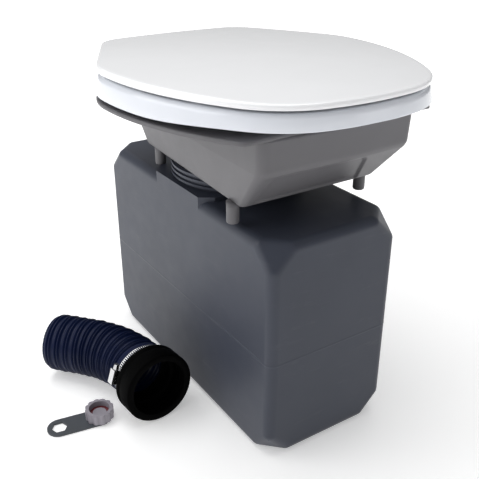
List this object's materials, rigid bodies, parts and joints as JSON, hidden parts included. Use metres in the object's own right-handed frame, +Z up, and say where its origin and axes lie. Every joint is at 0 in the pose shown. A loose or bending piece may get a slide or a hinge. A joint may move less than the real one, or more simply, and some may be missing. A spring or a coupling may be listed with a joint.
{
  "type": "cassette toilet",
  "caption": "Caravan cassette toilet: waste tank with faceted corners, tapered pan with hinged seat and lid, sliding waste and drain valves, drain hose, cap and spanner.",
  "frame": {"origin": "centre of the waste tank's flat base, on the floor", "axes": "+Z up, -Y towards the front of the seat, +Y towards the hinge and the drain spigot, +X to the waste valve's knob"},
  "size_m": [0.489, 0.5384, 0.4616],
  "materials": {
    "tank_plastic": "satin blow-moulded polyethylene",
    "pan_plastic": "fine moulded satin",
    "bowl_plastic": "smooth gloss",
    "seat_plastic": "polished gloss",
    "lid_plastic": "polished gloss",
    "hinge_plastic": "gloss",
    "black_plastic": "satin",
    "knob_plastic": "satin",
    "black_rubber": "matte",
    "buffer_rubber": "matte",
    "hose_plastic": "satin ribbed",
    "steel": "bright rolled",
    "spanner_plastic": "satin",
    "cap_plastic": "satin",
    "red_rubber": "matte"
  },
  "bodies": {
    "tank": {"tank_shell": "tank_plastic", "neck_seal": "black_rubber", "drain_gasket": "black_rubber", "drain_valve_body": "black_plastic", "drain_screws": "steel", "vent_grommet": "black_rubber", "vent_elbow": "pan_plastic"},
    "drain_gate": {"drain_gate": "pan_plastic", "drain_rod": "steel", "drain_handle": "knob_plastic"},
    "pan": {"pan_shell": "pan_plastic", "bowl": "bowl_plastic", "valve_base": "black_plastic", "valve_cover": "black_plastic", "valve_seal": "black_rubber", "hinge_posts": "seat_plastic", "hinge_pins": "steel", "hinge_studs": "steel", "stud_washers": "steel", "wing_nuts": "hinge_plastic"},
    "waste_blade": {"waste_blade": "pan_plastic", "blade_knob": "knob_plastic"},
    "seat": {"seat_ring": "seat_plastic", "seat_buffers": "buffer_rubber"},
    "lid": {"lid": "lid_plastic", "lid_buffers": "buffer_rubber"},
    "hose": {"drain_hose": "hose_plastic", "hose_connector": "black_rubber", "clamp_band": "steel", "clamp_housing": "steel"},
    "clamp_screw": {"clamp_screw": "steel"},
    "spanner": {"spanner": "spanner_plastic"},
    "cap": {"tank_cap": "cap_plastic", "cap_gasket": "red_rubber"}
  },
  "joints": [
    {"name": "pan_lift", "type": "slide", "parent": "tank", "child": "pan", "axis": [0, 0, 1], "range_m": [0, 0.12]},
    {"name": "seat_hinge", "type": "hinge", "parent": "pan", "child": "seat", "pos_m": [0, 0.186, 0.436], "axis": [-1, 0, 0], "range_deg": [0, 95]},
    {"name": "lid_hinge", "type": "hinge", "parent": "seat", "child": "lid", "pos_m": [0, 0.186, 0.436], "axis": [-1, 0, 0], "range_deg": [0, 95]},
    {"name": "waste_blade_slide", "type": "slide", "parent": "pan", "child": "waste_blade", "axis": [0, -1, 0], "range_m": [0, 0.096]},
    {"name": "drain_gate_slide", "type": "slide", "parent": "tank", "child": "drain_gate", "axis": [0, 0, 1], "range_m": [0, 0.08]},
    {"name": "hose_lift", "type": "slide", "parent": "tank", "child": "hose", "axis": [0, 0, 1], "range_m": [0, 0.15]},
    {"name": "clamp_screw_turn", "type": "hinge", "parent": "hose", "child": "clamp_screw", "pos_m": [-0.21114, -0.02866, 0.0637], "axis": [0.3389, 0.0566, 0.9391], "continuous": true},
    {"name": "spanner_lift", "type": "slide", "parent": "tank", "child": "spanner", "axis": [-0.6, 0, 0.8], "range_m": [0, 0.12]},
    {"name": "cap_lift", "type": "slide", "parent": "spanner", "child": "cap", "axis": [-0.6, 0, 0.8], "range_m": [0, 0.08]}
  ]
}
